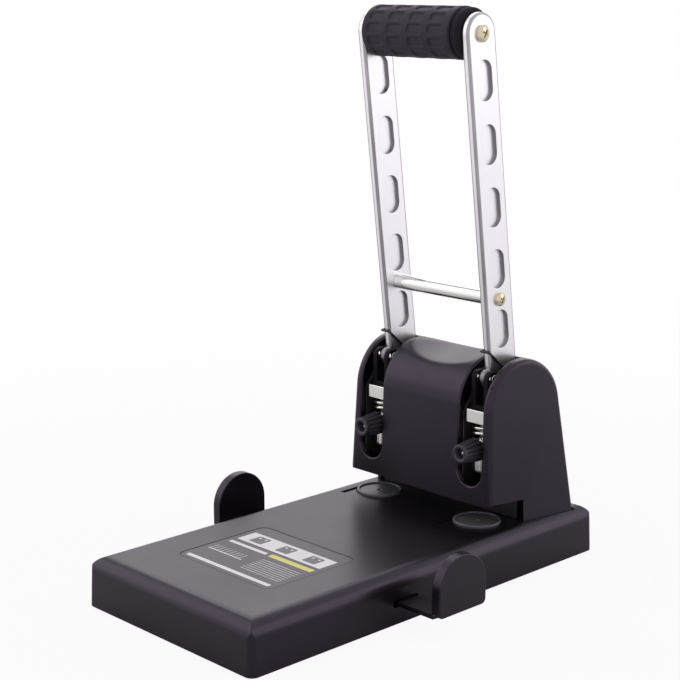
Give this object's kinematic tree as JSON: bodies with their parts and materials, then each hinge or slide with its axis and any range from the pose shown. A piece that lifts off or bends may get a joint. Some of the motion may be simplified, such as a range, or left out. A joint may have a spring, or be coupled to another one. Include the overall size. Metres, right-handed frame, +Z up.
{
  "type": "two-hole punch",
  "caption": "Heavy-duty lever paper punch with a long flat base, sliding paper guides, an arched tower with spring-loaded punch units and an upright lever with a rubber grip.",
  "frame": {"origin": "middle of the base's footprint, on the surface that the feet stand on", "axes": "+Z up, +X to the right as the user sees it, the user at -Y and the tower towards +Y"},
  "size_m": [0.196, 0.273, 0.325],
  "materials": {
    "body": "fine-grained black moulding",
    "disc": "smooth hard plastic",
    "knob": "ribbed black plastic",
    "yoke": "blackened steel",
    "rubber": "matte black rubber",
    "label": "printed film",
    "bar": "satin silver",
    "bright": "bright plated steel",
    "lever_screw": "pale yellow plated screws",
    "frame_steel": "plain bright steel",
    "plate_steel": "black painted sheet",
    "screw_steel": "zinc plated",
    "spring_steel": "blackened spring wire",
    "pinion": "natural plastic"
  },
  "bodies": {
    "stand": {"base": "body", "base_plate": "plate_steel", "plate_screws": "screw_steel", "feet": "rubber", "label": "label", "guide_tray": "body", "pinion_screw": "screw_steel", "tower": "body", "tower_screws": "screw_steel", "frame_left": "plate_steel", "frame_right": "plate_steel", "frame_screws": "screw_steel", "stop_plate": "plate_steel", "axle": "frame_steel", "axle_clips": "spring_steel"},
    "lever": {"bar_left": "bar", "bar_right": "bar", "spacer_rod": "bright", "grip_core": "frame_steel", "grip": "rubber", "lever_screws": "lever_screw", "drive_pins": "frame_steel", "return_spring_left": "spring_steel", "return_spring_right": "spring_steel"},
    "punch_unit_left": {"holder_left": "bright", "yoke_left": "yoke", "punch_left": "frame_steel", "clamp_spring_left": "bright"},
    "punch_unit_right": {"holder_right": "bright", "yoke_right": "yoke", "punch_right": "frame_steel", "clamp_spring_right": "bright"},
    "knob_unit_left": {"knob_left": "knob", "knob_screw_left": "bright"},
    "knob_unit_right": {"knob_right": "knob", "knob_screw_right": "bright"},
    "disc_unit_left": {"disc_left": "disc"},
    "disc_unit_right": {"disc_right": "disc"},
    "guide_unit_left": {"guide_left": "body"},
    "guide_unit_right": {"guide_right": "body"},
    "pinion_unit": {"pinion": "pinion"}
  },
  "joints": [
    {"name": "lever_pull", "type": "hinge", "parent": "stand", "child": "lever", "pos_m": [0, 0.0823, 0.10839], "axis": [1, 0, 0], "range_deg": [0, 49.98], "stiffness_Nm_per_rad": 1.2, "springref_deg": -28.65},
    {"name": "punch_left_slide", "type": "slide", "parent": "stand", "child": "punch_unit_left", "axis": [0, 0, -1], "range_m": [0, 0.013]},
    {"name": "punch_right_slide", "type": "slide", "parent": "stand", "child": "punch_unit_right", "axis": [0, 0, -1], "range_m": [0, 0.013]},
    {"name": "knob_left_turn", "type": "hinge", "parent": "punch_unit_left", "child": "knob_unit_left", "pos_m": [-0.04, 0.061, 0.0742], "axis": [0, 1, 0], "continuous": true},
    {"name": "knob_right_turn", "type": "hinge", "parent": "punch_unit_right", "child": "knob_unit_right", "pos_m": [0.04, 0.061, 0.0742], "axis": [0, 1, 0], "continuous": true},
    {"name": "disc_left_turn", "type": "hinge", "parent": "stand", "child": "disc_unit_left", "pos_m": [-0.04, 0.0625, 0.0305], "axis": [0, 0, 1], "continuous": true},
    {"name": "disc_right_turn", "type": "hinge", "parent": "stand", "child": "disc_unit_right", "pos_m": [0.04, 0.0625, 0.0305], "axis": [0, 0, 1], "continuous": true},
    {"name": "guide_right_slide", "type": "slide", "parent": "stand", "child": "guide_unit_right", "axis": [1, 0, 0], "range_m": [-0.022, 0.035]},
    {"name": "guide_left_slide", "type": "slide", "parent": "stand", "child": "guide_unit_left", "axis": [-1, 0, 0], "range_m": [-0.022, 0.035]},
    {"name": "pinion_turn", "type": "hinge", "parent": "stand", "child": "pinion_unit", "pos_m": [0, -0.009, 0.0134], "axis": [0, 0, 1], "range_deg": [-157.56, 250.67]}
  ],
  "couplings": [
    {"joint": "punch_left_slide", "follows": "lever_pull", "m_per_rad": 0.014902},
    {"joint": "punch_right_slide", "follows": "lever_pull", "m_per_rad": 0.014902},
    {"joint": "guide_left_slide", "follows": "guide_right_slide", "ratio": 1},
    {"joint": "pinion_turn", "follows": "guide_right_slide", "rad_per_m": 125}
  ]
}
